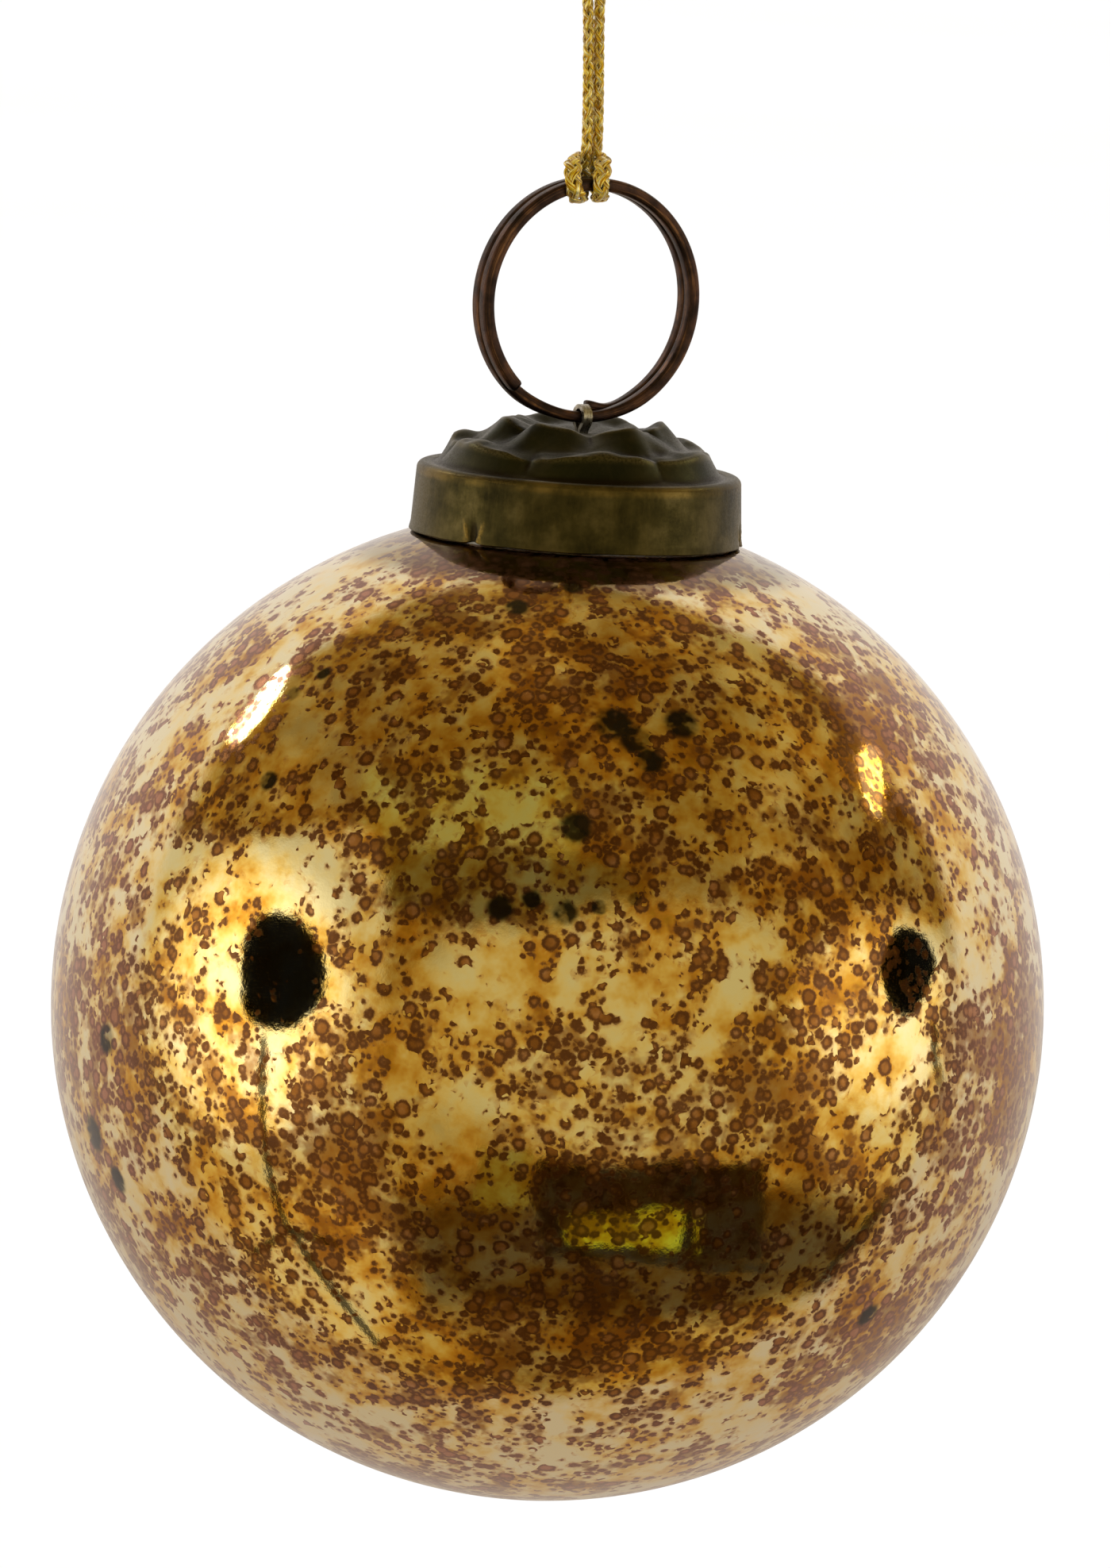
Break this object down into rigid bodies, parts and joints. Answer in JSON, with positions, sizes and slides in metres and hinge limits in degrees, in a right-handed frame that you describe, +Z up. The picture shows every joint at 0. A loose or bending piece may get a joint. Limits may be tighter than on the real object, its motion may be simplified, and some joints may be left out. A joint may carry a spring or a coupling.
{
  "type": "glass ball ornament",
  "caption": "Mirror-glass ball ornament with a stamped brass cap, a split pin, a split ring and a gold cord loop to hang it by.",
  "frame": {"origin": "inside the top of the cord's loop, where a hook bears", "axes": "+Z up, along the ball's axis towards the cap; the split ring lies in the XZ plane"},
  "size_m": [0.08, 0.08, 0.1457],
  "materials": {
    "mirror_glass": "glossy silvered glass, gold and amber with brown speckles",
    "cap_brass": "antiqued, bright along worn edges",
    "plaster": "matte plaster cement",
    "pin_steel": "bright, slightly dulled",
    "ring_bronze": "dark antiqued bronze",
    "gold_cord": "braided metallic yarn"
  },
  "bodies": {
    "hanging_cord": {"cord_loop": "gold_cord", "cord_knot": "gold_cord"},
    "ring": {"split_ring": "ring_bronze", "cord_hitch": "gold_cord"},
    "pin": {"split_pin": "pin_steel"},
    "ball": {"glass_ball": "mirror_glass", "cap": "cap_brass", "cement_ring": "plaster"}
  },
  "joints": [
    {"name": "ring_swing", "type": "hinge", "parent": "hanging_cord", "child": "ring", "pos_m": [0.002, 0.00014, -0.0294], "axis": [1, 0, 0], "range_deg": [-75, 75]},
    {"name": "ball_swing", "type": "hinge", "parent": "ring", "child": "pin", "pos_m": [0.00293, -0.0005, -0.0523], "axis": [1, 0, 0], "range_deg": [-45, 45]},
    {"name": "ball_turn", "type": "hinge", "parent": "pin", "child": "ball", "pos_m": [0.00293, -0.0005, -0.0537], "axis": [0, 0, 1], "continuous": true}
  ]
}
